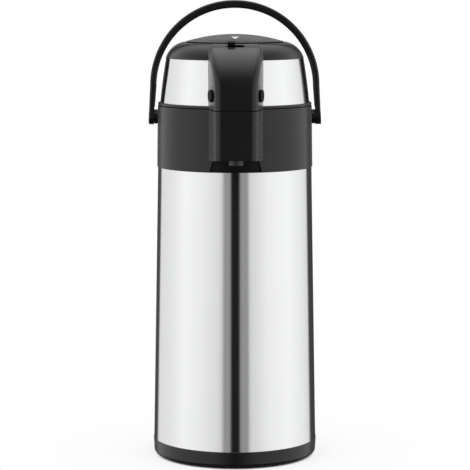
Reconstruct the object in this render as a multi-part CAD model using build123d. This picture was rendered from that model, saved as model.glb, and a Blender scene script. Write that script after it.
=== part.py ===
from build123d import *
from math import asin, atan, cos, degrees, radians, sin, sqrt
import os

# A pump airpot, standing up. Sizes are in millimetres. The origin is on the body's axis at the floor,
# +Z is up and the nose with the spout points to -Y. The outlines below are (radius, height) points.

# Heights of the visible zones, from the floor up
base_height = 16.0
shell_height = 252.8
collar_height = 56.0
head_height = 57.9
dome_rise = 7.3

# Radii of the visible zones
body_radius = 75.3
shell_taper = 4.6
shell_wall = 0.8
base_step = 0.4
collar_step = 0.8
collar_taper = 0.8
plastic_wall = 2.2
spigot_gap = 0.15
spigot_wall = 2.0
base_spigot = 10.0
collar_spigot = 12.0

# Swivel foot and base
foot_inset = 4.1
foot_gap = 0.6
foot_thickness = 2.6
pad_proud = 0.8
pad_bury = 0.8
pad_width = 7.0
pad_margin = 2.2
fit_side = 0.1
skirt_lift = 1.6
skirt_round = 0.9
base_floor = 2.5
rail_inset = 18.2
rail_width = 6.0
rail_height = 1.5
rail_gap = 0.1
hub_radius = 12.0
hub_height = 5.2
swivel_shoulder = 3.0
swivel_thread = 2.5
swivel_head = 7.0
swivel_running = 0.08
washer_thickness = 0.5
cover_radius = 7.4

# Flask, its jacket and what holds them
plug_radius = 24.0
plug_gap = 0.1
plug_lug = 3.0
plug_top = 18.0
cup_inset = 11.0
cup_wall = 2.5
cup_rise = 9.5
cushion_width = 12.8
cushion_thickness = 2.0
jacket_gap = 2.4
jacket_wall = 0.8
vacuum_gap = 2.2
liner_wall = 0.7
flask_heel = 8.0
flask_shoulder = 21.0
neck_radius = 30.6
neck_gap = 1.4
neck_rise = 13.0
neck_fillet = 6.0
crest_drop = 11.0
lip_thickness = 0.8
mouth_gasket_height = 2.2
mouth_gasket_width = 5.2

# Neck ring inside the collar
ledge_rise = 4.8
ledge_width = 5.5
ledge_thickness = 2.4
ring_thickness = 2.2
ring_gap = 0.3
ring_skirt = 2.0
seat_step = 4.4
seat_rise = 5.0
seat_depth = 4.0
screw_shank = 1.5
screw_head = 2.7
screw_head_height = 1.5
screw_count = 4

# Siphon: plug, dip tube, ball, outlet pipe and nozzle
siphon_gap = 1.2
siphon_flange = 3.0
siphon_skirt = 12.0
siphon_gasket = 1.2
turret_radius = 11.0
turret_bore = 6.0
turret_inset = 16.6
turret_height = 14.0
tube_radius = 4.0
tube_wall = 0.9
tube_inset = 14.6
tube_clear = 8.0
ball_radius = 3.6
ball_cage = 4.6
ball_travel = 4.0
ball_lift = 0.06
cage_wall = 2.8
pipe_radius = 5.5
pipe_wall = 1.3
pipe_rise = 14.5
pipe_bend = 9.0
nozzle_radius = 6.4
nozzle_bore = 4.4
nozzle_setback = 11.0
nozzle_drop = 4.9
nozzle_flange = 1.8

# Nose with the spout, shared by the collar and the lid
nose_reach = 23.5
nose_front_half = 17.6
nose_length = 45.0
nose_root_half = 24.3
nose_bulge = 2.3
nose_depth = 55.0
nose_corner = 6.0
nose_crest = 40.2
nose_crown = 4.2
nose_lift = 12.8
nose_fall = 2.1
nose_plate = 2.3
nose_plate_recess = 1.0
nose_plate_gap = 0.4
pipe_window = 8.5
niche_inset = 2.8
niche_flare = 3.1
apron_recess = 2.0
apron_wall = 1.6
apron_gap = 0.35

# Lid
seam_gap = 1.0
lip_inset = 0.24
lip_height = 2.3
window_foot = 2.3
band_width = 40.1
band_wall = 0.6
band_gap = 0.1
band_step = 0.25
window_rise = 3.3
band_taper = 5.4
band_bulge = 0.35
shoulder_bulge = 2.7
shoulder_width = 18.05
ring_slope = 2.9
button_gap = 0.8
opening_lip = 2.6
core_thickness = 2.2
core_gap = 0.9
core_drop = 1.2
well_wall = 1.8
boss_radius = 14.0
boss_bore = 8.0
boss_plate = 5.8
air_gasket_height = 1.35
air_gasket_gap = 0.05
screw_post = 3.8
screw_gap = 7.1

# Hinge at the back
hinge_inset = 1.5
hinge_rise = 6.2
hinge_barrel = 5.0
hinge_pin_radius = 2.0
hinge_running = 0.06
hinge_knuckle = 11.2
hinge_lug_gap = 0.4
hinge_lug = 8.6
hinge_clear = 0.6

# Pump
button_proud = 0.9
button_wall = 2.0
button_skirt = 8.5
button_edge = 0.5
pump_travel = 28.0
bellows_gap = 9.4
bellows_fold = 6.5
bellows_wall = 0.9
bellows_folds = 6
clamp_height = 2.2
plate_gap = 1.5
plate_thickness = 2.0
plate_drop = 9.6
spring_gap = 8.0
spring_wire = 1.8
spring_turns = 7
vent_radius = 5.0
arrow_width = 7.4
arrow_length = 10.2
arrow_margin = 16.9
arrow_depth = 0.5
arrow_notch = 1.1

# Lock slider in the nose's top
slot_length = 16.8
slot_width = 8.7
slot_margin = 11.3
knob_width = 6.6
knob_depth = 5.6
knob_height = 3.8
lock_start = -3.7
lock_travel = 7.4
slider_length = 28.0
slider_width = 13.0
slider_thickness = 1.4
slider_gap = 0.8
knob_ribs = 3
tongue_width = 8.0
tongue_gap = 0.35

# Latch buttons on the nose's sides
pad_setback = 14.2
pad_rise = 13.2
pad_length = 15.0
pad_height = 10.7
pad_stand = 1.9
pad_gap = 0.4
pad_ribs = 4
latch_travel = 3.0
flange_length = 16.2
flange_height = 12.4
flange_thickness = 1.6
arm_width = 8.0
arm_thickness = 2.2
arm_drop = 8.0
catch_reach = 0.8
catch_height = 2.0
hook_gap = 0.4
latch_spring_radius = 3.2
latch_spring_wire = 0.7
latch_spring_turns = 5
post_half = 3.5
dimple_radius = 0.8
dimple_y = -3.0

# Carrying handle
handle_clear = 1.0
handle_thickness = 5.1
handle_top_thickness = 6.6
bow_drop = 48.2
handle_splay = 1.7
handle_width = 13.0
handle_edge = 1.9
handle_foot = 7.2
handle_foot_round = 1.4
pivot_drop = 10.3
pivot_boss = 6.6
pivot_pin = 3.0
pivot_head = 4.6
pivot_head_height = 1.3
pivot_running = 0.06
washer_gap = 0.1

# Levels and radii that follow from the sizes above
shell_z = base_height
collar_z = shell_z + shell_height
seam_z = collar_z + collar_height
rim_z = seam_z + head_height
top_z = rim_z + dome_rise
shell_top_radius = body_radius - shell_taper
collar_radius = shell_top_radius + collar_step
collar_top_radius = collar_radius - collar_taper
collar_bore = collar_top_radius - plastic_wall
foot_radius = body_radius - foot_inset
foot_top = pad_proud + foot_thickness
floor_z = foot_top + rail_height + rail_gap
jacket_radius = shell_top_radius - shell_wall - jacket_gap + 0.5
liner_radius = jacket_radius - jacket_wall - vacuum_gap
lip_z = collar_z + neck_rise
gasket_z = lip_z + lip_thickness
ring_z = gasket_z + mouth_gasket_height
seat_z = ring_z + seat_rise
plug_z = seat_z + siphon_gasket + siphon_flange
ledge_z = plug_z + ledge_rise
turret_z = plug_z + turret_height
pipe_z = plug_z + pipe_rise
cup_z = plug_top + cup_rise
cushion_z = cup_z + cup_wall
jacket_z = cushion_z + cushion_thickness
flask_crest = lip_z - neck_rise - crest_drop
lid_z = seam_z + seam_gap
core_z = lid_z + 0.2
core_top = core_z + core_thickness
window_z = seam_z + window_rise
band_top = window_z + band_width
shoulder_radius = collar_top_radius - window_foot - band_taper + band_step
opening_radius = shoulder_radius - shoulder_width
button_radius = opening_radius - button_gap
well_radius = opening_radius + 0.1
hinge_y = collar_radius - hinge_inset
hinge_z = seam_z + hinge_rise
pivot_z = seam_z - pivot_drop
crest_z = rim_z - nose_crest
nose_front = collar_radius + nose_reach
nose_root = nose_front - nose_length
nose_back = nose_front - nose_depth
nozzle_y = nose_front - nozzle_setback
crown_y = opening_radius - nose_crown
pad_y = nose_front - pad_setback
slot_y = opening_radius + slot_margin
rail_radius = foot_radius - rail_inset
cup_radius = jacket_radius - cup_inset
turret_offset = neck_radius - turret_inset
tube_offset = neck_radius - tube_inset
screw_circle = well_radius + well_wall + screw_post + screw_gap
bellows_outer = button_radius - bellows_gap
bellows_inner = bellows_outer - bellows_fold
plate_radius = bellows_inner - plate_gap
spring_radius = plate_radius - spring_gap
arrow_centre = button_radius - arrow_margin
handle_inner = collar_radius + handle_clear
handle_outer = handle_inner + handle_thickness
handle_inner_rise = top_z - bow_drop - pivot_z
handle_outer_rise = handle_inner_rise + handle_top_thickness - handle_thickness


def arc(start, end, sag):
    """An arc between two outline points, bulging by sag to the left of the way it runs."""
    run, rise = end[0] - start[0], end[1] - start[1]
    length = sqrt(run**2 + rise**2)
    middle = ((start[0] + end[0]) / 2 - rise * sag / length, (start[1] + end[1]) / 2 + run * sag / length)
    return ThreePointArc(start, middle, end)


def outline(points, sags=None):
    """A closed face through the points; sags gives the bulge of the stretches that are arcs."""
    sags = sags or {}
    edges = []
    for i, start in enumerate(points):
        end = points[(i + 1) % len(points)]
        edges.append(arc(start, end, sags[i]) if i in sags else Line(start, end))
    return make_face(edges)


def turned(points, sags=None, x=0, y=0):
    """An outline turned round a vertical axis."""
    return Pos(x, y, 0) * revolve(Plane.XZ * outline(points, sags), Axis.Z)


def barrel(radius, low, high, x=0, y=0):
    return Pos(x, y, (low + high) / 2) * Cylinder(radius, high - low)


def cross_rod(radius, left, right, y, z):
    """A cylinder along X."""
    return Pos((left + right) / 2, y, z) * Rot(0, 90, 0) * Cylinder(radius, right - left)


def block(left, right, front, back, low, high):
    centre = Pos((left + right) / 2, (front + back) / 2, (low + high) / 2)
    return centre * Box(right - left, back - front, high - low)


def coil(radius, wire, turns, length):
    """A compression spring along Z from 0 to length, wire included."""
    pitch = (length - wire) / turns
    path = Helix(pitch=pitch, height=length - wire, radius=radius)
    section = Plane(path @ 0, z_dir=path % 0) * Circle(wire / 2)
    return Pos(0, 0, wire / 2) * sweep(section, path=path, is_frenet=True)


def around(count, radius, start=45):
    """X and Y of places at even angles round the axis."""
    angles = [radians(start + i * 360 / count) for i in range(count)]
    return [(radius * cos(a), radius * sin(a)) for a in angles]


def save(name, shape):
    export_step(shape, os.path.join("parts", name + ".step"))


# Nose shapes

def nose_circle():
    """The large circle that the nose's right side follows in plan: centre X and Y, and radius."""
    run, rise = nose_root_half - nose_front_half, nose_front - nose_root
    length = sqrt(run**2 + rise**2)
    radius = length**2 / (8 * nose_bulge) + nose_bulge / 2
    back = (radius - nose_bulge) / length
    centre_x = (nose_root_half + nose_front_half) / 2 - rise * back
    centre_y = -(nose_root + nose_front) / 2 + run * back
    return centre_x, centre_y, radius


def nose_half(y, inset=0.0):
    """Half the nose's width at the distance y in front of the axis."""
    centre_x, centre_y, radius = nose_circle()
    return centre_x + sqrt((radius - inset) ** 2 - (-y - centre_y) ** 2)


def nose_edge(y):
    """Level of the nose's underside at the distance y in front of the axis."""
    return collar_z + nose_lift - nose_fall * (nose_front - y) / nose_reach


def nose_prism(inset, low, high, back=nose_back):
    front = nose_front - inset
    middle = (front + back) / 2
    points = [(nose_half(y, inset), -y) for y in (back, middle, front)]
    mirrored = [(-x, y) for x, y in points]
    plan = make_face([
        ThreePointArc(*points), Line(points[2], mirrored[2]), ThreePointArc(*reversed(mirrored)),
        Line(mirrored[0], points[0]),
    ])
    return extrude(Pos(0, 0, low) * plan, amount=high - low)


def nose_profile(inset, low):
    """The lid's side of the nose in Y and Z: upright at the front, rounding over to the button's rim."""
    reach = nose_front - crown_y - inset
    rise = nose_crest - inset
    curve = EllipticalCenterArc((-crown_y, crest_z), reach, rise, start_angle=90, arc_size=90)
    front, back, top = -nose_front + inset, -nose_back, crest_z + rise
    rest = Polyline((front, crest_z), (front, low), (back, low), (back, top), (-crown_y, top))
    return make_face(curve.edges() + rest.edges())


def round_corners(solid, radius, low, back):
    """Rounds the long edges where the nose's sides meet its front and top."""
    edges = [
        e for e in solid.edges()
        if abs(e.center().X) > 5 and e.center().Y < -back - 0.01 and e.center().Z > low + 0.01
        and not (e.bounding_box().size.Z < 0.01 and e.bounding_box().size.Y > 1 and e.center().Z < crest_z)
    ]
    return fillet(edges, radius)


def upper_nose(inset, low):
    profile = extrude(Plane.YZ * nose_profile(inset, low), amount=nose_root_half + 10, both=True)
    solid = nose_prism(inset, low, rim_z + 1) & profile
    return round_corners(solid, nose_corner - inset, low, nose_back)


def lower_nose(inset, low, high):
    solid = nose_prism(inset, low, high)
    edges = [e for e in solid.edges().filter_by(Axis.Z) if e.center().Y < -nose_back - 1]
    return fillet(edges, nose_corner - inset)


# Foot and base

def make_swivel_foot():
    recess = pad_proud + 2.5
    bore = swivel_shoulder + swivel_running
    pad_outer = foot_radius - pad_margin
    pad_inner = pad_outer - pad_width
    hub_top = foot_top + hub_height
    rail = [rail_radius + rail_width / 2, rail_radius - rail_width / 2]
    return turned([
        (bore, recess), (cover_radius + fit_side, recess), (cover_radius + fit_side, pad_proud),
        (pad_inner, pad_proud), (pad_inner, pad_proud + pad_bury), (pad_outer, pad_proud + pad_bury),
        (pad_outer, pad_proud), (foot_radius - 0.5, pad_proud), (foot_radius, pad_proud + 0.5),
        (foot_radius, foot_top), (rail[0], foot_top), (rail[0], foot_top + rail_height),
        (rail[1], foot_top + rail_height), (rail[1], foot_top), (hub_radius, foot_top),
        (hub_radius, hub_top), (bore, hub_top),
    ])


def make_foot_pad():
    outer = foot_radius - pad_margin - fit_side
    inner = outer - pad_width + 2 * fit_side
    edge = 0.4
    return turned([
        (inner, edge), (inner + edge, 0), (outer - edge, 0), (outer, edge),
        (outer, pad_proud + pad_bury), (inner, pad_proud + pad_bury),
    ])


def make_screw_cover():
    edge = 0.3
    return turned([(0, 0), (cover_radius - edge, 0), (cover_radius, edge), (cover_radius, 1.25), (0, 1.25)])


def make_swivel_screw():
    head_low = pad_proud + 0.55
    head_high = pad_proud + 2.5 - washer_thickness
    seat = foot_top + hub_height + 0.4
    body = barrel(swivel_head, head_low, head_high)
    body += barrel(swivel_shoulder, head_high, seat) + barrel(swivel_thread, seat, plug_top - 2.5)
    socket = extrude(Pos(0, 0, head_low) * RegularPolygon(2.4, 6), amount=0.8)
    return body - socket


def make_swivel_washer():
    low = pad_proud + 2.5 - washer_thickness
    ring = barrel(swivel_head, low, low + washer_thickness - 0.05)
    return ring - barrel(swivel_shoulder + swivel_running, low - 1, low + 2)


def make_base_ring():
    outer = body_radius + base_step
    skirt = foot_radius + foot_gap
    spigot = body_radius - shell_wall - spigot_gap
    spigot_top = spigot - shell_taper * base_spigot / shell_height
    inner = spigot_top - spigot_wall
    floor_top = floor_z + base_floor
    boss_top = plug_top - 0.4
    points = [
        (skirt, skirt_lift), (skirt + 0.6, skirt_lift), (outer - 0.5, skirt_lift + 3.8), (outer, base_height - 1.5),
        (outer, base_height - 0.3), (outer - 0.3, base_height), (spigot, base_height),
        (spigot_top, base_height + base_spigot), (inner, base_height + base_spigot), (inner, floor_top),
        (plug_radius + plug_lug, floor_top), (plug_radius + plug_lug, boss_top),
        (plug_radius, boss_top), (plug_radius, floor_z), (skirt, floor_z),
    ]
    ring = turned(points, {1: -skirt_round})
    rib = block(plug_radius + plug_lug - 0.2, inner + 0.2, -1, 1, floor_top - 0.1, base_height - 2)
    for i in range(8):
        ring += Rot(0, 0, 22.5 + 45 * i) * rib
    return ring


def make_adjuster():
    recess = hub_radius + 2.5
    seat = foot_top + hub_height + 0.4
    outer = plug_radius - plug_gap
    body = turned([
        (recess, floor_z + 0.3), (outer, floor_z + 0.3), (outer, plug_top), (0, plug_top),
        (0, plug_top - 2), (swivel_thread, plug_top - 2), (swivel_thread, seat), (recess, seat),
    ])
    for i in range(3):
        body -= Rot(0, 0, 120 * i) * barrel(1.6, floor_z, floor_z + 3, x=(recess + outer) / 2)
    return body


# Flask

def make_support_cup():
    hub = plug_radius + 6.5
    flat = cup_radius - cushion_width - 3.2
    return turned([
        (8, plug_top), (hub, plug_top), (flat, cup_z), (cup_radius, cup_z), (cup_radius, cushion_z + 1.4),
        (cup_radius - 3, cushion_z + 1.4), (cup_radius - 3, cushion_z), (flat - 1, cushion_z),
        (hub - 1, plug_top + cup_wall), (8, plug_top + cup_wall),
    ])


def make_cushion():
    outer = cup_radius - 3 - fit_side
    inner = outer - cushion_width + 2
    return turned([(inner, cushion_z), (outer, cushion_z), (outer, jacket_z), (inner, jacket_z)])


def bottle(radius, low, crest, heel, shoulder, neck, curve, top):
    """A bottle shape: flat bottom, rounded heel, shoulder rounding over to the crest, straight neck."""
    sag = 1 - sqrt(0.5)
    return turned([
        (0, low), (radius - heel, low), (radius, low + heel), (radius, crest - shoulder),
        (radius - shoulder, crest), (neck + curve, crest), (neck, crest + curve), (neck, top), (0, top),
    ], {1: -heel * sag, 3: -shoulder * sag, 5: curve * sag})


def make_flask_jacket():
    wall = jacket_wall
    neck = neck_radius + liner_wall + neck_gap + wall
    outer = bottle(jacket_radius, jacket_z, flask_crest, flask_heel, flask_shoulder, neck, neck_fillet, lip_z)
    inner = bottle(
        jacket_radius - wall, jacket_z + wall, flask_crest - wall, flask_heel - wall, flask_shoulder - wall,
        neck - wall, neck_fillet + wall, lip_z,
    )
    return outer - inner


def liner():
    """The flask's inner wall, from its base to its lip."""
    wall = liner_wall
    low = jacket_z + jacket_wall + vacuum_gap
    crest = flask_crest - jacket_wall - vacuum_gap
    neck = neck_radius + wall
    outer = bottle(liner_radius, low, crest, flask_heel, flask_shoulder, neck, neck_fillet, gasket_z)
    inner = bottle(
        liner_radius - wall, low + wall, crest - wall, flask_heel - wall, flask_shoulder - wall,
        neck_radius, neck_fillet + wall, gasket_z,
    )
    lip = barrel(neck + neck_gap + jacket_wall + 0.4, lip_z, gasket_z)
    return outer + lip - inner


def liner_welds():
    """Levels at which the liner's base, wall and top meet."""
    base = jacket_z + jacket_wall + vacuum_gap + flask_heel
    top = flask_crest - jacket_wall - vacuum_gap - flask_shoulder
    return base, top


def make_liner_base():
    return liner() & barrel(jacket_radius, jacket_z, liner_welds()[0])


def make_flask_liner():
    return liner() & barrel(jacket_radius, *liner_welds())


def make_liner_top():
    return liner() & barrel(jacket_radius, liner_welds()[1], gasket_z + 1)


def make_mouth_gasket():
    inner = neck_radius + 0.2
    outer = inner + mouth_gasket_width
    return turned([(inner, gasket_z), (outer, gasket_z), (outer, ring_z), (inner, ring_z)])


# Collar

def make_neck_ring():
    inner = neck_radius - 0.4
    gasket = neck_radius + 0.2 + mouth_gasket_width + 0.6
    seat = inner + seat_step
    rim = collar_bore - ring_gap
    floor_top = ledge_z + ring_thickness
    funnel = rim - 18
    ring = turned([
        (inner, ring_z), (gasket, ring_z), (gasket, ring_z - 2.6), (gasket + ring_skirt, ring_z - 2.6),
        (gasket + ring_skirt, seat_z + seat_depth - 1.5), (funnel + 1, ledge_z), (rim, ledge_z),
        (rim, floor_top), (funnel, floor_top), (seat, seat_z + seat_depth), (seat, seat_z), (inner, seat_z),
    ])
    for x, y in around(screw_count, ledge_circle()):
        ring -= barrel(screw_shank + fit_side, ledge_z - 1, floor_top + 1, x, y)
    return ring


def screw(low, high, x, y, flip=False):
    """A pan-head screw; its head sits at the high end, or at the low end when flipped."""
    shank = barrel(screw_shank, low, high, x, y)
    if flip:
        head = barrel(screw_head, low - screw_head_height, low, x, y)
        return shank + head - block(x - 1.8, x + 1.8, y - 0.4, y + 0.4, low - 2, low - 0.8)
    head = barrel(screw_head, high, high + screw_head_height, x, y)
    return shank + head - block(x - 1.8, x + 1.8, y - 0.4, y + 0.4, high + 0.8, high + 2)


def ledge_circle():
    return collar_bore - ledge_width + 2.4


def make_neck_screws():
    top = ledge_z + ring_thickness
    return [screw(top - 9, top, x, y) for x, y in around(screw_count, ledge_circle())]


def collar_tube():
    """The collar's round wall with its spigot and the ledge that carries the neck ring."""
    spigot = shell_top_radius - shell_wall - spigot_gap
    inner = spigot - spigot_wall
    low = collar_z - collar_spigot
    ledge = collar_bore - ledge_width
    tube = turned([
        (collar_radius - 0.3, collar_z), (collar_radius, collar_z + 0.3), (collar_top_radius, seam_z - 0.3),
        (collar_top_radius - 0.3, seam_z), (collar_bore, seam_z), (collar_bore, ledge_z), (ledge, ledge_z),
        (ledge, ledge_z - ledge_thickness), (collar_bore, ledge_z - ledge_thickness - ledge_width),
        (inner, collar_z + 2), (inner, low), (spigot, low), (spigot, collar_z),
    ])
    for x, y in around(screw_count, ledge_circle()):
        tube += barrel(3.2, ledge_z - 9, ledge_z - 0.5, x, y) & barrel(collar_bore + 0.5, ledge_z - 10, ledge_z)
        tube -= barrel(screw_shank, ledge_z - 7.5, ledge_z + 1, x, y)
    return tube


def shroud():
    """The collar's part of the nose, open below and above."""
    side = make_face(Polyline(
        (-nose_back, nose_edge(nose_back)), (-nose_front - 1, nose_edge(nose_front + 1)),
        (-nose_front - 1, seam_z), (-nose_back, seam_z), close=True,
    ))
    outer = lower_nose(0, collar_z, seam_z) & extrude(Plane.YZ * side, amount=60, both=True)
    hollow = lower_nose(plastic_wall, collar_z - 1, seam_z + 1)
    hollow -= barrel(collar_radius - 1, collar_z - 2, seam_z + 2)
    return outer - barrel(collar_bore, collar_z - 2, seam_z + 2) - hollow


def niche(gap=0.0):
    """The room in the collar's wall under the nose, wider towards its foot."""
    top = nose_half(collar_radius) - niche_inset - gap
    foot = top + niche_flare
    edge = nose_edge(collar_radius)
    high = edge + nose_plate_recess + nose_plate + apron_gap - gap
    shape = make_face(Polyline(
        (-foot, collar_z + gap), (foot, collar_z + gap), (top, edge), (top, high), (-top, high), (-top, edge),
        close=True,
    ))
    return extrude(Plane.XZ * shape, amount=collar_radius + 4)


def latch_catch(side):
    """The ledge in the shroud that the latch's hook reaches under."""
    low, high = catch_span()
    reach = block(-plastic_wall - catch_reach, -plastic_wall + 0.5, -arm_width / 2 - 1, arm_width / 2 + 1, low, high)
    return on_side(side, Pos(0, 0, -latch_z()) * reach)


def hinge_lugs():
    """The two ears at the back that hold the lid's hinge pin."""
    inner = hinge_knuckle + hinge_lug_gap
    front, back = hinge_y - hinge_barrel, hinge_y + hinge_barrel
    lugs = []
    for left in (inner, -inner - hinge_lug):
        wall = collar_bore - 2.3
        web = make_face(Polyline(
            (wall, seam_z - 25), (collar_radius - 0.2, seam_z - 25), (back, seam_z - 12), (back, hinge_z),
            (front, hinge_z), (front, seam_z + 1.4), (wall, seam_z - 1.6), close=True,
        ))
        ear = Pos(left, 0, 0) * extrude(Plane.YZ * web, amount=hinge_lug)
        ear += cross_rod(hinge_barrel, left, left + hinge_lug, hinge_y, hinge_z)
        lugs.append(ear - barrel(collar_bore, collar_z, seam_z))
    return lugs


def make_collar():
    body = collar_tube() + shroud()
    for ear in hinge_lugs():
        body += ear
    for side in (-1, 1):
        start, end = sorted((side * (collar_bore + 0.4), side * (pivot_face() - washer_thickness)))
        body += cross_rod(pivot_boss, start, end, 0, pivot_z)
        body += latch_catch(side)
    body -= niche()
    body -= block(-pipe_window, pipe_window, -collar_radius - 3, -collar_bore + 8, pipe_z - 8, seam_z + 1)
    body -= cross_rod(pivot_pin, -collar_radius - 9, collar_radius + 9, 0, pivot_z)
    body -= cross_rod(hinge_pin_radius, -40, 40, hinge_y, hinge_z)
    return body


def nozzle_seat():
    """Level of the flat seat round the nozzle, on top of the slanted plate."""
    return nose_edge(nozzle_y + nozzle_radius + nozzle_flange + 1) + nose_plate_recess + nose_plate


def make_nose_bottom():
    """The plate that closes the nose below, with a seat for the nozzle and an apron down the collar."""
    front, back = nose_front, collar_radius - 8
    low_front, low_back = nose_edge(front) + nose_plate_recess, nose_edge(back) + nose_plate_recess
    inside = lower_nose(plastic_wall + nose_plate_gap, collar_z - 5, nozzle_seat())
    slab = Polyline(
        (-front, low_front), (-front, low_front + nose_plate), (-back, low_back + nose_plate),
        (-back, low_back), close=True,
    )
    room = Polyline(
        (-front, low_front), (-front, nozzle_seat()), (-back, nozzle_seat()), (-back, low_back), close=True,
    )
    plate = extrude(Plane.YZ * make_face(slab), amount=60, both=True)
    seat = barrel(nozzle_radius + nozzle_flange + 1, collar_z, nozzle_seat(), y=-nozzle_y)
    plate += seat & extrude(Plane.YZ * make_face(room), amount=60, both=True)
    face = collar_radius - apron_recess
    plate = (plate & inside) - (barrel(collar_radius + nose_plate_gap, collar_z - 6, seam_z) - niche(apron_gap))
    plate += barrel(face, collar_z, seam_z) & niche(apron_gap)
    plate -= barrel(face - apron_wall, collar_z - 6, seam_z)
    return plate - barrel(nozzle_radius + 0.2, collar_z - 6, seam_z, y=-nozzle_y)


# Siphon

def tube_top():
    return plug_z - siphon_flange - siphon_gasket - siphon_skirt + 3


def make_siphon_plug():
    flange_radius = neck_radius - 0.4 + seat_step - 0.7
    stem = neck_radius - 0.4 - siphon_gap
    flange_low = plug_z - siphon_flange
    low = flange_low - siphon_gasket - siphon_skirt
    body = barrel(flange_radius, flange_low, plug_z) + barrel(stem, low, flange_low)
    body -= barrel(stem - 2, low - 1, flange_low)
    body += barrel(turret_radius, plug_z, turret_z, y=turret_offset)
    body -= barrel(turret_bore, low - 1, turret_z + 1, y=turret_offset)
    body += barrel(pipe_radius - pipe_wall - 0.05, plug_z, plug_z + 5, y=-tube_offset)
    return body - barrel(tube_radius - tube_wall - 0.4, flange_low - 1, plug_z + 6, y=-tube_offset)


def make_valve_cage():
    """The room under the plug's flange that the ball moves in; it takes the dip tube's end."""
    flange_low = plug_z - siphon_flange
    low = flange_low - siphon_gasket - siphon_skirt
    cage_low, cage_high = tube_top(), ball_rest() + ball_radius + ball_travel + 0.4
    body = barrel(ball_cage + cage_wall, low, flange_low, y=-tube_offset)
    body -= barrel(ball_cage, cage_low, cage_high, y=-tube_offset)
    body -= barrel(tube_radius, low - 1, cage_low + 0.01, y=-tube_offset)
    return body - barrel(tube_radius - tube_wall - 0.4, cage_high - 1, plug_z + 6, y=-tube_offset)


def make_plug_gasket():
    inner = neck_radius - 0.4 - siphon_gap
    outer = neck_radius - 0.4 + seat_step - 0.9
    return barrel(outer, seat_z, seat_z + siphon_gasket) - barrel(inner, seat_z - 1, seat_z + 3)


def make_dip_tube():
    low = jacket_z + jacket_wall + vacuum_gap + liner_wall + tube_clear
    tube = barrel(tube_radius, low, tube_top(), y=-tube_offset)
    tube -= barrel(tube_radius - tube_wall, low - 1, tube_top() + 1, y=-tube_offset)
    return tube - Pos(0, -tube_offset, low) * Rot(45, 0, 0) * Box(20, 4, 4)


def ball_rest():
    """Height of the ball's centre where it sits on the dip tube's upper end."""
    return tube_top() + sqrt(ball_radius**2 - (tube_radius - tube_wall) ** 2) + ball_lift


def make_valve_ball():
    return Pos(0, -tube_offset, ball_rest()) * Sphere(ball_radius)


def make_outlet_pipe():
    low = nozzle_seat() + 4
    path = FilletPolyline(
        (0, -tube_offset, plug_z), (0, -tube_offset, pipe_z), (0, -nozzle_y, pipe_z), (0, -nozzle_y, low),
        radius=pipe_bend,
    )
    start = Plane((0, -tube_offset, plug_z), z_dir=(0, 0, 1))
    outer = sweep(start * Circle(pipe_radius), path=path)
    return outer - sweep(start * Circle(pipe_radius - pipe_wall), path=path)


def make_nozzle():
    low = collar_z + nose_lift - nozzle_drop
    seat = nozzle_seat()
    top = seat + 9.5
    body = turned([
        (nozzle_bore + 0.5, low), (nozzle_radius - 0.5, low), (nozzle_radius, low + 0.5), (nozzle_radius, seat),
        (nozzle_radius + nozzle_flange, seat), (nozzle_radius + nozzle_flange, seat + 1.6),
        (nozzle_radius + 0.4, seat + 1.6), (nozzle_radius + 0.4, top), (pipe_radius + 0.05, top),
        (pipe_radius + 0.05, seat + 4), (nozzle_bore, seat + 4), (nozzle_bore, low + 0.5),
    ])
    return Pos(0, -nozzle_y, 0) * body


# Lid

def band_radius():
    return collar_top_radius - window_foot


def lid_profile():
    lip = collar_top_radius - lip_inset
    low_r = band_radius() - band_wall - band_gap
    high_r = low_r - band_taper
    inner_high = band_top - 1.5
    wall = plastic_wall
    points = [
        (lip, lid_z), (lip, lid_z + lip_height - 0.9), (lip - 0.9, lid_z + lip_height), (low_r, lid_z + lip_height),
        (high_r, band_top + 0.1), (shoulder_radius, band_top + 0.1), (opening_radius + ring_slope, rim_z - 0.1),
        (opening_radius + 0.4, rim_z - 0.4), (opening_radius, rim_z - 0.8), (opening_radius, rim_z - opening_lip),
        (opening_radius + 2.4, rim_z - opening_lip - 0.6), (high_r - wall + 0.4, inner_high),
        (low_r - wall, lid_z + lip_height + 1), (lip - wall, lid_z + 2), (lip - wall, lid_z),
    ]
    bulge = shoulder_bulge
    return points, {3: -band_bulge, 5: -bulge, 10: bulge * 0.8, 11: band_bulge}


def head_solid():
    """The round head filled, used to trim what stands inside it."""
    points, sags = lid_profile()
    return turned(points[:7] + [(0, rim_z - 0.1), (0, lid_z)], {3: sags[3], 5: sags[5]})


def head_cavity():
    """The room inside the round head."""
    points, sags = lid_profile()
    inner = points[10:]
    floor = lid_z - 1
    return turned(
        [(0, inner[0][1]), *inner[:-1], (inner[-1][0], floor), (0, floor)],
        {1: sags[10], 2: sags[11]},
    )


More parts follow.
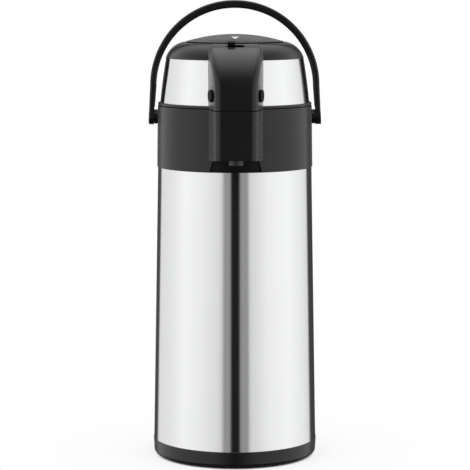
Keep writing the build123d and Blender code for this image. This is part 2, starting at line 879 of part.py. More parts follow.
def make_lid_shell():
    points, sags = lid_profile()
    nose = upper_nose(0, lid_z) - head_cavity() - barrel(opening_radius + ring_slope, lid_z - 1, rim_z + 1)
    shell = turned(points, sags) + nose
    shell -= upper_nose(plastic_wall, lid_z - 1)
    shell -= barrel(opening_radius, lid_z, rim_z + 5)
    cavity_back = hinge_y - hinge_barrel - hinge_clear - plastic_wall
    half = hinge_knuckle + 2 * hinge_lug_gap + hinge_lug
    backing = block(-half - 2, half + 2, cavity_back, hinge_y, lid_z, hinge_z + hinge_barrel + 3)
    shell += backing & head_solid()
    filled = head_solid()
    for x, y in around(screw_count, screw_circle):
        shell += barrel(screw_post, core_top, rim_z, x, y) & filled
        shell -= barrel(screw_shank, core_top - 1, core_top + 9, x, y)
    shell += cross_rod(hinge_barrel, -hinge_knuckle, hinge_knuckle, hinge_y, hinge_z)
    shell += block(-hinge_knuckle, hinge_knuckle, cavity_back + 1, hinge_y, hinge_z - 2, hinge_z + hinge_barrel)
    for sign in (-1, 1):
        left, right = sorted((sign * hinge_knuckle, sign * half))
        shell -= cross_rod(hinge_barrel + hinge_clear, left, right, hinge_y, hinge_z)
        front = hinge_y - hinge_barrel - hinge_clear
        shell -= block(left, right, front, hinge_y + 9, lid_z - 1, hinge_z)
    shell -= cross_rod(hinge_pin_radius + hinge_running, -half, half, hinge_y, hinge_z)
    shell -= lock_slot()
    for side in (-1, 1):
        dimple = Pos(0, dimple_y, pad_height / 2 + 1.9) * Rot(0, 90, 0) * Cylinder(dimple_radius, 1.6)
        shell -= on_side(side, latch_window())
        shell -= on_side(side, dimple)
    return shell


def make_window_band():
    """The brushed steel skin round the head, cut away for the nose and the hinge."""
    low, high = window_z, band_top
    outer, upper = band_radius(), band_radius() - band_taper
    band = turned(
        [(outer - band_wall, low), (outer, low), (upper, high), (upper - band_wall, high)],
        {1: -band_bulge, 3: band_bulge},
    )
    band -= nose_prism(-0.15, low - 1, high + 1, back=nose_back - 10)
    half = hinge_knuckle + 2 * hinge_lug_gap + hinge_lug + 0.6
    return band - block(-half, half, 40, 90, low - 1, hinge_z + hinge_barrel + hinge_clear + 0.6)


def latch_slot(side):
    """The way of a latch's arm through the lid's floor, as long as the latch travels."""
    inner = -plastic_wall - pad_gap - arm_thickness - latch_travel - 1.4
    slot = block(inner, -plastic_wall + 0.3, -arm_width / 2 - 0.6, arm_width / 2 + 0.6, -40, 40)
    return on_side(side, slot)


def make_lid_core():
    rim = collar_top_radius - lip_inset - plastic_wall - core_gap
    tongue = nose_prism(plastic_wall + 0.5, core_z, core_top) - nose_corner_cut()
    body = barrel(rim, core_z, core_top) + tongue
    half = hinge_knuckle + 2 * hinge_lug_gap + hinge_lug + 3
    back = hinge_y - hinge_barrel - hinge_clear - plastic_wall - core_gap
    body -= block(-half, half, back, 90, core_z - 1, core_top + 1)
    well_top = rim_z - opening_lip - 0.7
    body += barrel(well_radius + well_wall, core_z, well_top) - barrel(well_radius, core_top, well_top + 1)
    body += barrel(boss_radius, turret_z + air_gasket_gap + air_gasket_height, core_z, y=turret_offset)
    body -= barrel(boss_bore, turret_z, core_top - boss_plate, y=turret_offset)
    for i in range(4):
        angle = radians(45 + 90 * i)
        x, y = 4.2 * cos(angle), turret_offset + 4.2 * sin(angle)
        body -= barrel(1.2, core_top - boss_plate - 1, core_top + 1, x, y)
    body -= barrel(1.6, core_top - boss_plate - 1, core_top + 1, y=turret_offset)
    body += block(-post_half, post_half, -pad_y - 6, -pad_y + 6, core_top - 0.1, seam_z + pad_rise + 6)
    body -= latch_slot(-1) + latch_slot(1)
    for x, y in around(screw_count, screw_circle):
        body -= barrel(screw_shank + fit_side, core_z - 1, core_top + 1, x, y)
    return body


def nose_corner_cut():
    """What the round inner corners of the nose take off a square-cornered plate."""
    inset = plastic_wall + 0.5
    square = nose_prism(inset, core_z - 1, core_top + 1)
    return square - lower_nose(inset, core_z - 1, core_top + 1)


def make_core_screws():
    return [screw(core_z, core_z + 10, x, y, flip=True) for x, y in around(screw_count, screw_circle)]


def make_air_gasket():
    low = turret_z + air_gasket_gap
    ring = barrel(boss_radius - 1, low, low + air_gasket_height, y=turret_offset)
    return ring - barrel(boss_bore, low - 1, low + 4, y=turret_offset)


def make_outlet_valve():
    under = core_top - boss_plate
    return turned([
        (0, under - 0.9), (6.2, under - 0.5), (6.2, under), (1.55, under), (1.55, core_top),
        (2.3, core_top), (1.2, core_top + 1.6), (0, core_top + 1.6),
    ], y=turret_offset)


def make_hinge_pin():
    half = hinge_knuckle + hinge_lug_gap + hinge_lug
    return cross_rod(hinge_pin_radius, -half + 0.3, half - 0.3, hinge_y, hinge_z)


# Pump

def dome_radius():
    edge, rise = button_radius - button_edge, dome_rise - button_proud
    return (edge**2 + rise**2) / (2 * rise)


def dome_ball(drop=0.0):
    """The ball whose cap is the button's dome, drawn in by drop."""
    return Pos(0, 0, top_z - dome_radius()) * Sphere(dome_radius() - drop)


def arrow_prism():
    """A plain down-pointing arrowhead seen from above, near the front of the button."""
    half, near, far = arrow_width / 2, -arrow_centre - arrow_length / 2, -arrow_centre + arrow_length / 2
    shape = make_face(Polyline((0, near), (half, far), (0, far - arrow_notch), (-half, far), close=True))
    return extrude(Pos(0, 0, rim_z - 20) * shape, amount=60)


def make_button():
    low = rim_z - button_skirt
    inner = button_radius - button_wall
    rim = button_radius - button_edge
    edge_z = rim_z + button_proud
    shelf = edge_z - button_wall - 0.6
    shell = turned([
        (0, top_z), (rim, edge_z), (button_radius, edge_z - button_edge), (button_radius, low), (inner, low),
        (inner, shelf), (plate_radius, shelf + 3.2), (plate_radius, plate_z()), (plate_radius - 2, plate_z()),
        (plate_radius - 2, shelf + 3.8), (0, top_z - button_wall),
    ], {0: rim**2 / (8 * dome_radius()), 1: 0.3 * button_edge, 9: -0.5})
    stem = barrel(vent_radius, plate_z() + 2.4, top_z - button_wall / 2)
    return shell + stem - (arrow_prism() - dome_ball(arrow_depth))


def make_arrow():
    return arrow_prism() & (dome_ball(-0.02) - dome_ball(arrow_depth))


def plate_z():
    return rim_z - plate_drop + plate_thickness


def make_pressure_plate():
    plate = barrel(plate_radius, plate_z() - plate_thickness, plate_z())
    plate -= barrel(2.5, plate_z() - 9, plate_z() + 9)
    return plate - turned([
        (spring_radius - spring_wire * 0.7, plate_z() - 9), (spring_radius + spring_wire * 0.7, plate_z() - 9),
        (spring_radius + spring_wire * 0.7, plate_z() - plate_thickness + 0.6),
        (spring_radius - spring_wire * 0.7, plate_z() - plate_thickness + 0.6),
    ])


def make_vent_plug():
    return turned([
        (0, plate_z()), (2.4, plate_z()), (vent_radius - 0.6, plate_z() + 1.2), (vent_radius - 0.6, plate_z() + 2.4),
        (0, plate_z() + 2.4),
    ])


def make_bellows():
    """A corrugated sleeve from the lid's floor to the pressure plate."""
    low, high = core_top + 1.0, plate_z() - plate_thickness
    step = (high - low) / (2 * bellows_folds)
    outside = [(bellows_outer - 2, low)]
    for i in range(bellows_folds):
        outside.append((bellows_outer, low + step * (2 * i + 1)))
        outside.append((bellows_inner, low + step * (2 * i + 2)))
    outside[-1] = (plate_radius - 0.5, high)
    inside = [(r - bellows_wall * 1.25, z) for r, z in reversed(outside)]
    foot = [(bellows_outer - 2 - bellows_wall * 1.25, core_top), (bellows_outer + 3, core_top), (bellows_outer + 3, low)]
    return turned(outside + inside + foot)


def make_bellows_clamp():
    low = core_top + 1.0
    inner, outer = bellows_outer + 0.6, bellows_outer + 5
    return turned([
        (inner, low), (bellows_outer + 3.1, low), (bellows_outer + 3.1, core_top), (outer, core_top),
        (outer, low + clamp_height), (inner, low + clamp_height),
    ])


def make_return_spring():
    low, high = core_top, plate_z() - plate_thickness + 0.6
    return Pos(0, 0, low) * coil(spring_radius, spring_wire, spring_turns, high - low)


# Lock slider

def slot_tilt():
    """Slope of the nose's top at the slot, in degrees."""
    reach = nose_front - crown_y
    away = (slot_y - crown_y) / reach
    return degrees(atan(nose_crest / reach * away / sqrt(1 - away**2)))


def slot_place(drop=0.0):
    """A frame on the nose's top at the slot, sunk by drop."""
    height = crest_z + nose_crest * sqrt(1 - ((slot_y - crown_y) / (nose_front - crown_y)) ** 2)
    return Pos(0, -slot_y, height) * Rot(slot_tilt(), 0, 0) * Pos(0, 0, -drop)


def lock_slot():
    return slot_place() * extrude(Pos(0, 0, -6) * SlotOverall(slot_length, slot_width), amount=12)


def make_lock_slider():
    drop = plastic_wall + slider_gap
    plate = Pos(lock_start, 0, -drop - slider_thickness / 2) * Box(slider_length, slider_width, slider_thickness)
    height = drop + knob_height
    knob = Box(knob_width, knob_depth, height)
    knob = fillet(knob.edges().filter_by(Axis.Z), 1.2)
    for i in range(knob_ribs - 1):
        x = (i - (knob_ribs - 2) / 2) * knob_width / knob_ribs
        knob -= Pos(x, 0, height / 2) * Box(0.7, knob_depth + 1, 1.4)
    slider = plate + Pos(lock_start, 0, height / 2 - drop) * knob
    tilt = radians(slot_tilt())
    wall = well_radius + well_wall + tongue_gap
    end = (slot_y - wall - (drop + slider_thickness) * sin(tilt)) / cos(tilt)
    half = tongue_width / 2
    tongue = block(-half, half, slider_width / 2 - 0.5, end, -drop - slider_thickness, -drop)
    return slot_place() * (slider + Pos(lock_start, 0, 0) * tongue)


# Latch buttons

def latch_z():
    return seam_z + pad_rise


def latch_tilt():
    """How far the nose's side is turned away from straight ahead at the latch, in degrees."""
    _, centre_y, radius = nose_circle()
    return degrees(asin((pad_y + centre_y) / radius))


def on_side(side, shape):
    """Moves a shape made with X along the wall's normal onto the nose's side wall."""
    placed = Pos(nose_half(pad_y), -pad_y, latch_z()) * Rot(0, 0, -latch_tilt()) * shape
    return placed if side > 0 else mirror(placed, about=Plane.YZ)


def oval(length, height, low, high):
    """An oval block through the wall, from low to high along the wall's normal."""
    face = Plane(origin=(low, 0, 0), x_dir=(0, 1, 0), z_dir=(1, 0, 0)) * SlotOverall(length, height)
    return extrude(face, amount=high - low)


def latch_window():
    return oval(pad_length + 2 * pad_gap, pad_height + 2 * pad_gap, -plastic_wall - 1.5, 4)


def catch_span():
    """Low and high level of the catch in the shroud."""
    low = seam_z - arm_drop + 2.2
    return low, low + catch_height


def make_latch(side):
    pad = oval(pad_length, pad_height, -plastic_wall - pad_gap, pad_stand)
    rim = [e for e in pad.edges() if abs(e.center().X - pad_stand) < 0.01]
    pad = fillet(rim, 0.7)
    for i in range(pad_ribs):
        z = (i - (pad_ribs - 1) / 2) * 2.0
        pad -= Pos(pad_stand, 0, z) * Rot(0, 0, 0) * Box(0.9, pad_length - 6, 0.8)
    back = -plastic_wall - pad_gap
    half, rise = flange_length / 2, flange_height / 2
    flange = block(back - flange_thickness, back, -half, half, -rise, rise)
    face = back - hook_gap - catch_reach + pad_gap
    arm_low = seam_z - arm_drop - latch_z()
    arm = block(face - arm_thickness, face, -arm_width / 2, arm_width / 2, arm_low, -rise + 2)
    hook = block(face - 0.1, face + 0.1, -arm_width / 2, arm_width / 2, arm_low, arm_low + 1.6)
    return on_side(side, pad + flange + arm + hook)


def make_latch_spring(side):
    tilt = radians(latch_tilt())
    depth = (plastic_wall + pad_gap + flange_thickness) / cos(tilt)
    lean = (latch_spring_radius + latch_spring_wire) * sin(tilt) / cos(tilt)
    length = nose_half(pad_y) - depth - lean - post_half - 0.1
    spring = coil(latch_spring_radius, latch_spring_wire, latch_spring_turns, length)
    return Pos(side * (post_half + 0.05), -pad_y, latch_z()) * Rot(0, 90 * side, 0) * spring


# Handle

def pivot_face():
    """How far out the handle's inner faces stand at the pivots."""
    return collar_radius + 2.5


def make_handle():
    outer_z, inner_z = pivot_z + handle_outer_rise, pivot_z + handle_inner_rise
    foot = pivot_z - handle_foot
    out_low = handle_outer + handle_splay
    in_low = handle_inner + handle_splay
    bow = make_face(
        ThreePointArc((-handle_outer, outer_z), (0, outer_z + handle_outer), (handle_outer, outer_z)).edges()
        + Polyline((handle_outer, outer_z), (out_low, foot), (in_low, foot), (handle_inner, inner_z)).edges()
        + ThreePointArc((handle_inner, inner_z), (0, inner_z + handle_inner), (-handle_inner, inner_z)).edges()
        + Polyline((-handle_inner, inner_z), (-in_low, foot), (-out_low, foot), (-handle_outer, outer_z)).edges()
    )
    strap = extrude(Plane.XZ * bow, amount=handle_width / 2 + 1, both=True)
    half = handle_width / 2
    top = outer_z + handle_outer + 1
    sides = extrude(Plane.YZ * (
        Pos(0, (pivot_z + top) / 2) * Rectangle(handle_width, top - pivot_z)
        + Pos(0, pivot_z) * Circle(handle_foot)
    ), amount=100, both=True)
    handle = strap & sides
    long_edges = [e for e in handle.edges() if abs(abs(e.center().Y) - half) < 0.01 and e.center().Z > pivot_z + 6]
    handle = fillet(long_edges, handle_edge)
    foot_edges = [
        e for e in handle.edges()
        if e.center().Z < pivot_z and abs(e.center().X) > handle_outer and e.bounding_box().size.Y > handle_foot
    ]
    handle = fillet(foot_edges, handle_foot_round)
    for side in (-1, 1):
        start, end = sorted((side * (collar_radius - 4), side * pivot_face()))
        handle -= cross_rod(handle_foot + 3, start, end, 0, pivot_z)
        start, end = sorted((side * collar_radius, side * (out_low + 3)))
        handle -= cross_rod(pivot_pin + pivot_running, start, end, 0, pivot_z)
        start, end = sorted((side * (pin_head_inner()), side * (out_low + 3)))
        handle -= cross_rod(pivot_head + 0.2, start, end, 0, pivot_z)
    return handle


def pin_head_inner():
    """How far out the underside of the pivot pin's head stands."""
    return handle_outer + handle_splay * 0.75 - pivot_head_height


def make_handle_pins():
    pins = []
    for side in (-1, 1):
        inner, outer = collar_bore + 1, pin_head_inner() + 0.05
        start, end = sorted((side * inner, side * outer))
        shank = cross_rod(pivot_pin, start, end, 0, pivot_z)
        start, end = sorted((side * outer, side * (outer + pivot_head_height)))
        pins.append(shank + cross_rod(pivot_head, start, end, 0, pivot_z))
    return pins


def make_handle_washers():
    rings = []
    for side in (-1, 1):
        start, end = sorted((side * (pivot_face() - washer_thickness), side * (pivot_face() - washer_gap)))
        ring = cross_rod(pivot_boss - 0.25, start, end, 0, pivot_z)
        rings.append(ring - cross_rod(pivot_pin + 0.02, start - 1, end + 1, 0, pivot_z))
    return rings


def make_outer_shell():
    top = collar_z
    return turned([
        (body_radius - shell_wall, shell_z), (body_radius, shell_z), (shell_top_radius, top),
        (shell_top_radius - shell_wall, top),
    ])


def main():
    os.makedirs("parts", exist_ok=True)
    save("swivel_foot", make_swivel_foot())
    save("foot_pad", make_foot_pad())
    save("screw_cover", make_screw_cover())
    save("swivel_screw", make_swivel_screw())
    save("swivel_washer", make_swivel_washer())
    save("base_ring", make_base_ring())
    save("adjuster", make_adjuster())
    save("support_cup", make_support_cup())
    save("flask_cushion", make_cushion())
    save("outer_shell", make_outer_shell())
    save("flask_jacket", make_flask_jacket())
    save("liner_base", make_liner_base())
    save("flask_liner", make_flask_liner())
    save("liner_top", make_liner_top())
    save("mouth_gasket", make_mouth_gasket())
    save("neck_ring", make_neck_ring())
    save("neck_screws", Compound(make_neck_screws()))
    save("collar", make_collar())
    save("nose_bottom", make_nose_bottom())
    save("siphon_plug", make_siphon_plug())
    save("valve_cage", make_valve_cage())
    save("plug_gasket", make_plug_gasket())
    save("dip_tube", make_dip_tube())
    save("valve_ball", make_valve_ball())
    save("outlet_pipe", make_outlet_pipe())
    save("nozzle", make_nozzle())
    save("lid_shell", make_lid_shell())
    save("window_band", make_window_band())
    save("lid_core", make_lid_core())
    save("core_screws", Compound(make_core_screws()))
    save("air_gasket", make_air_gasket())
    save("outlet_valve", make_outlet_valve())
    save("hinge_pin", make_hinge_pin())
    save("button", make_button())
    save("arrow_inlay", make_arrow())
    save("pressure_plate", make_pressure_plate())
    save("vent_plug", make_vent_plug())
    save("bellows", make_bellows())
    save("bellows_clamp", make_bellows_clamp())
    save("return_spring", make_return_spring())
    save("lock_slider", make_lock_slider())
    for side, name in ((-1, "left"), (1, "right")):
        save("latch_" + name, make_latch(side))
        save("latch_spring_" + name, make_latch_spring(side))
    save("handle", make_handle())
    save("handle_pins", Compound(make_handle_pins()))
    save("handle_washers", Compound(make_handle_washers()))


main()
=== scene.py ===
import math

import bmesh
import bpy
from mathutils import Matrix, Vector


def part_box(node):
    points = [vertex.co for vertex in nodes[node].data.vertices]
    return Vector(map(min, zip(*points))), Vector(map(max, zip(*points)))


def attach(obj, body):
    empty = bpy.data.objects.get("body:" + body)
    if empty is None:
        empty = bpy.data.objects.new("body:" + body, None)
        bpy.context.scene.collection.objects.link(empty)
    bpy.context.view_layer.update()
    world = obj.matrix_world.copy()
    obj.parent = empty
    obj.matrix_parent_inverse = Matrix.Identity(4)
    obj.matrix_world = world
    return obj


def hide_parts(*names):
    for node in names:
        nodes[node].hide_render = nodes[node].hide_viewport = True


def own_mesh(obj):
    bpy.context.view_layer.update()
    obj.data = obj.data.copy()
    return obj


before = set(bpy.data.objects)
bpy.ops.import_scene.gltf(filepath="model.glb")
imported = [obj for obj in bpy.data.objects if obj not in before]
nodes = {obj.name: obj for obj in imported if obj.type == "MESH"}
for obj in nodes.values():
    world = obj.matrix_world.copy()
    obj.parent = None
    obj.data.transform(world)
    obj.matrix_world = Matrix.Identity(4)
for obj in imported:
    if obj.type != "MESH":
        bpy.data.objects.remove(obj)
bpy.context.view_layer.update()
scene = bpy.context.scene
print("frame loaded:", len(nodes), "nodes")


# all sizes are in metres, and the nose of the pot points towards -Y
view = {
    "aim": (0.0002, 0.0, 0.2045),
    "distance": 2.026,
    "pitch": 7.05,  # degrees that the camera looks down
    "turn": 0.8,  # degrees round the pot, towards its left
    "lens": 167.6,
}


def makeCamera(v):
    camera = bpy.data.objects.new("photoCamera", bpy.data.cameras.new("photoCamera"))
    scene.collection.objects.link(camera)
    camera.data.lens = v["lens"]
    camera.data.sensor_width = 36.0
    camera.data.sensor_fit = "HORIZONTAL"
    camera.data.clip_end = 50.0
    pitch, turn = math.radians(v["pitch"]), math.radians(v["turn"])
    away = Vector((-math.sin(turn) * math.cos(pitch), -math.cos(turn) * math.cos(pitch), math.sin(pitch)))
    camera.location = Vector(v["aim"]) + away * v["distance"]
    camera.rotation_euler = (-away).to_track_quat("-Z", "Y").to_euler()
    scene.camera = camera


makeCamera(view)
scene.view_settings.view_transform = "Standard"

# white tent round the pot: what polished metal sees, by the compass direction, 0 towards the camera
tent = {
    "fill": 0.62,  # what lights the pot softly from all round
    "overhead": 2.35,  # brightness of the big panel above
    "panel": (0.0, 0.225, 0.974),  # direction of that panel's middle, a little behind the pot
    "spread": 2.9,  # how quickly the panel darkens away from its middle
    "roof": (0.35, 0.75),  # heights in the sky between which the bands give way to the panel
    "table": (-0.62, -0.30, 0.05),  # depths at which the dark below begins and ends, and its brightness
    "stops": [  # degrees from straight ahead (minus is left), brightness
        (-180.0, 0.10), (-158.0, 0.07), (-146.0, 0.08), (-141.5, 0.98), (-110.0, 1.12), (-79.0, 1.37),
        (-45.0, 1.24), (-24.0, 1.06), (-20.5, 0.96), (-15.6, 0.42), (-7.4, 0.43), (-6.0, 0.01),
        (5.6, 0.01), (7.2, 0.38), (11.0, 0.44), (17.6, 0.41), (21.5, 0.98), (50.0, 1.30),
        (84.0, 1.37), (110.0, 1.20), (132.0, 0.98), (137.0, 0.07), (158.0, 0.05), (180.0, 0.10),
    ],
}


def link(tree, a, b):
    tree.links.new(a, b)


def mathNode(tree, operation, *values):
    node = tree.nodes.new("ShaderNodeMath")
    node.operation = operation
    for i, value in enumerate(values):
        if isinstance(value, (int, float)):
            node.inputs[i].default_value = value
        else:
            link(tree, value, node.inputs[i])
    return node.outputs[0]


def remap(tree, value, low, high, outLow, outHigh):
    node = tree.nodes.new("ShaderNodeMapRange")
    node.inputs["From Min"].default_value = low
    node.inputs["From Max"].default_value = high
    for label, v in (("To Min", outLow), ("To Max", outHigh)):
        if isinstance(v, (int, float)):
            node.inputs[label].default_value = v
        else:
            link(tree, v, node.inputs[label])
    link(tree, value, node.inputs["Value"])
    return node.outputs[0]


def makeTent(t):
    world = bpy.data.worlds.new("tent")
    scene.world = world
    world.use_nodes = True
    tree = world.node_tree
    tree.nodes.clear()
    out = tree.nodes.new("ShaderNodeOutputWorld")
    direction = tree.nodes.new("ShaderNodeTexCoord").outputs["Generated"]
    split = tree.nodes.new("ShaderNodeSeparateXYZ")
    link(tree, direction, split.inputs[0])
    toFront = mathNode(tree, "MULTIPLY", split.outputs["Y"], -1.0)
    angle = mathNode(tree, "ARCTAN2", split.outputs["X"], toFront)
    place = mathNode(tree, "MULTIPLY_ADD", angle, 0.5 / math.pi, 0.5)
    ramp = tree.nodes.new("ShaderNodeValToRGB")
    elements = ramp.color_ramp.elements
    for i, (degrees, level) in enumerate(t["stops"]):
        at = degrees / 360.0 + 0.5
        stop = elements[i] if i < 2 else elements.new(at)
        stop.position = at
        stop.color = (level, level, level, 1.0)
    link(tree, place, ramp.inputs[0])
    bands = tree.nodes.new("ShaderNodeBackground")
    link(tree, ramp.outputs["Color"], bands.inputs["Color"])
    below = remap(tree, split.outputs["Z"], t["table"][0], t["table"][1], t["table"][2], 1.0)
    roof = remap(tree, split.outputs["Z"], t["roof"][0], t["roof"][1], 1.0, 0.0)
    link(tree, mathNode(tree, "MULTIPLY", below, roof), bands.inputs["Strength"])
    towards = tree.nodes.new("ShaderNodeVectorMath")
    towards.operation = "DOT_PRODUCT"
    towards.inputs[1].default_value = t["panel"]
    link(tree, direction, towards.inputs[0])
    near = mathNode(tree, "POWER", mathNode(tree, "MAXIMUM", towards.outputs["Value"], 0.0), t["spread"])
    top = tree.nodes.new("ShaderNodeBackground")
    top.inputs["Color"].default_value = (1.0, 1.0, 1.0, 1.0)
    link(tree, mathNode(tree, "MULTIPLY", near, t["overhead"]), top.inputs["Strength"])
    reflected = tree.nodes.new("ShaderNodeAddShader")
    link(tree, bands.outputs[0], reflected.inputs[0])
    link(tree, top.outputs[0], reflected.inputs[1])
    plain = tree.nodes.new("ShaderNodeBackground")
    plain.inputs["Color"].default_value = (1.0, 1.0, 1.0, 1.0)
    plain.inputs["Strength"].default_value = t["fill"]
    white = tree.nodes.new("ShaderNodeBackground")
    white.inputs["Color"].default_value = (1.0, 1.0, 1.0, 1.0)
    rays = tree.nodes.new("ShaderNodeLightPath")
    mixA = tree.nodes.new("ShaderNodeMixShader")
    link(tree, mathNode(tree, "MAXIMUM", rays.outputs["Is Glossy Ray"], rays.outputs["Is Transmission Ray"]),
         mixA.inputs[0])
    link(tree, plain.outputs[0], mixA.inputs[1])
    link(tree, reflected.outputs[0], mixA.inputs[2])
    mixB = tree.nodes.new("ShaderNodeMixShader")
    link(tree, rays.outputs["Is Camera Ray"], mixB.inputs[0])
    link(tree, mixA.outputs[0], mixB.inputs[1])
    link(tree, white.outputs[0], mixB.inputs[2])
    link(tree, mixB.outputs[0], out.inputs["Surface"])


makeTent(tent)

floorSettings = {
    "radius": 3.0,
    "below": 0.0001,
    "shade": (0.88, 0.88, 0.88),
    "lift": [(0.0, 0.0), (0.0714, 0.0), (0.0736, 0.80), (0.11, 0.90), (0.22, 1.0)],
    # distance from the middle, share of plain white: a dark line under the skirt, a faint shadow beside it
}


def makeFloor(f):
    bm = bmesh.new()
    bmesh.ops.create_circle(bm, cap_ends=True, segments=96, radius=f["radius"])
    bmesh.ops.translate(bm, verts=bm.verts, vec=(0.0, 0.0, -f["below"]))
    mesh = bpy.data.meshes.new("floor")
    bm.to_mesh(mesh)
    bm.free()
    floor = bpy.data.objects.new("floor", mesh)
    scene.collection.objects.link(floor)
    floor.visible_glossy = False
    mat = bpy.data.materials.new("paleFloor")
    mat.use_nodes = True
    tree = mat.node_tree
    surface = tree.nodes["Principled BSDF"]
    surface.inputs["Base Color"].default_value = (*f["shade"], 1.0)
    surface.inputs["Roughness"].default_value = 0.9
    surface.inputs["Specular IOR Level"].default_value = 0.0
    glow = tree.nodes.new("ShaderNodeEmission")
    where = tree.nodes.new("ShaderNodeTexCoord").outputs["Object"]
    away = tree.nodes.new("ShaderNodeVectorMath")
    away.operation = "LENGTH"
    link(tree, where, away.inputs[0])
    fade = tree.nodes.new("ShaderNodeValToRGB")
    elements = fade.color_ramp.elements
    for i, (distance, level) in enumerate(f["lift"]):
        stop = elements[i] if i < 2 else elements.new(distance)
        stop.position = distance
        stop.color = (level, level, level, 1.0)
    link(tree, away.outputs["Value"], fade.inputs[0])
    rays = tree.nodes.new("ShaderNodeLightPath")
    share = mathNode(tree, "MULTIPLY", fade.outputs["Color"], rays.outputs["Is Camera Ray"])
    mix = tree.nodes.new("ShaderNodeMixShader")
    link(tree, share, mix.inputs[0])
    link(tree, surface.outputs[0], mix.inputs[1])
    link(tree, glow.outputs[0], mix.inputs[2])
    under = tree.nodes.new("ShaderNodeMixShader")  # clear from below, so that the foot can be looked at
    link(tree, tree.nodes.new("ShaderNodeNewGeometry").outputs["Backfacing"], under.inputs[0])
    link(tree, mix.outputs[0], under.inputs[1])
    link(tree, tree.nodes.new("ShaderNodeBsdfTransparent").outputs[0], under.inputs[2])
    link(tree, under.outputs[0], tree.nodes["Material Output"].inputs["Surface"])
    mesh.materials.append(mat)


makeFloor(floorSettings)

lamps = {
    "overhead": {"at": (0.0, -0.15, 1.5), "aim": (0.0, 0.0, 0.3), "size": (1.2, 0.9), "power": 7.0},
    "leftBox": {"at": (-1.3, -0.9, 0.8), "aim": (0.0, 0.0, 0.25), "size": (0.7, 1.3), "power": 4.0},
    "rightBox": {"at": (1.3, -0.7, 0.8), "aim": (0.0, 0.0, 0.25), "size": (0.7, 1.3), "power": 3.0},
}


def makeLamps(settings):
    for name, s in settings.items():
        data = bpy.data.lights.new(name, "AREA")
        data.shape = "RECTANGLE"
        data.size, data.size_y = s["size"]
        data.energy = s["power"]
        lamp = bpy.data.objects.new(name, data)
        scene.collection.objects.link(lamp)
        lamp.visible_glossy = False
        lamp.location = s["at"]
        lamp.rotation_euler = (Vector(s["aim"]) - Vector(s["at"])).to_track_quat("-Z", "Y").to_euler()


makeLamps(lamps)
print("camera, tent, floor and lamps set")


def newGroup(name, inputs, outputs):
    group = bpy.data.node_groups.new(name, "ShaderNodeTree")
    for label, kind, value in inputs:
        socket = group.interface.new_socket(label, in_out="INPUT", socket_type=kind)
        if value is not None:
            socket.default_value = value
    for label, kind in outputs:
        group.interface.new_socket(label, in_out="OUTPUT", socket_type=kind)
    return group, group.nodes.new("NodeGroupInput"), group.nodes.new("NodeGroupOutput")


def objectNoise(tree, scale, detail=3.0, roughness=0.55, stretch=(1.0, 1.0, 1.0)):
    where = tree.nodes.new("ShaderNodeTexCoord").outputs["Object"]
    mapping = tree.nodes.new("ShaderNodeMapping")
    mapping.inputs["Scale"].default_value = stretch
    link(tree, where, mapping.inputs["Vector"])
    noise = tree.nodes.new("ShaderNodeTexNoise")
    link(tree, mapping.outputs[0], noise.inputs["Vector"])
    if isinstance(scale, (int, float)):
        noise.inputs["Scale"].default_value = scale
    else:
        link(tree, scale, noise.inputs["Scale"])
    noise.inputs["Detail"].default_value = detail
    noise.inputs["Roughness"].default_value = roughness
    return noise.outputs["Fac"]


def mouldGrainGroup():
    # fine spark-eroded grain of moulded plastic, and faint handling marks in its gloss
    group, gin, gout = newGroup(
        "mouldGrain",
        [("Grain Scale", "NodeSocketFloat", 2600.0), ("Bump", "NodeSocketFloat", 0.1),
         ("Gloss Low", "NodeSocketFloat", 0.3), ("Gloss High", "NodeSocketFloat", 0.4)],
        [("Normal", "NodeSocketVector"), ("Roughness", "NodeSocketFloat")])
    grain = objectNoise(group, gin.outputs["Grain Scale"], detail=2.0)
    bump = group.nodes.new("ShaderNodeBump")
    bump.inputs["Distance"].default_value = 0.0001
    link(group, gin.outputs["Bump"], bump.inputs["Strength"])
    link(group, grain, bump.inputs["Height"])
    link(group, bump.outputs[0], gout.inputs["Normal"])
    cloud = objectNoise(group, 28.0, detail=4.0, roughness=0.6)
    link(group, remap(group, cloud, 0.35, 0.65, gin.outputs["Gloss Low"], gin.outputs["Gloss High"]),
         gout.inputs["Roughness"])
    return group


mouldGrain = mouldGrainGroup()


def place(tree, group, **values):
    node = tree.nodes.new("ShaderNodeGroup")
    node.node_tree = group
    for label, value in values.items():
        node.inputs[label.replace("_", " ")].default_value = value
    return node


def newMaterial(name, color, metallic=0.0, roughness=0.5, **sockets):
    mat = bpy.data.materials.new(name)
    mat.use_nodes = True
    mat.diffuse_color = (*color, 1.0)
    surface = mat.node_tree.nodes["Principled BSDF"]
    surface.inputs["Base Color"].default_value = (*color, 1.0)
    surface.inputs["Metallic"].default_value = metallic
    surface.inputs["Roughness"].default_value = roughness
    for label, value in sockets.items():
        surface.inputs[label.replace("_", " ")].default_value = value
    return mat, mat.node_tree, surface


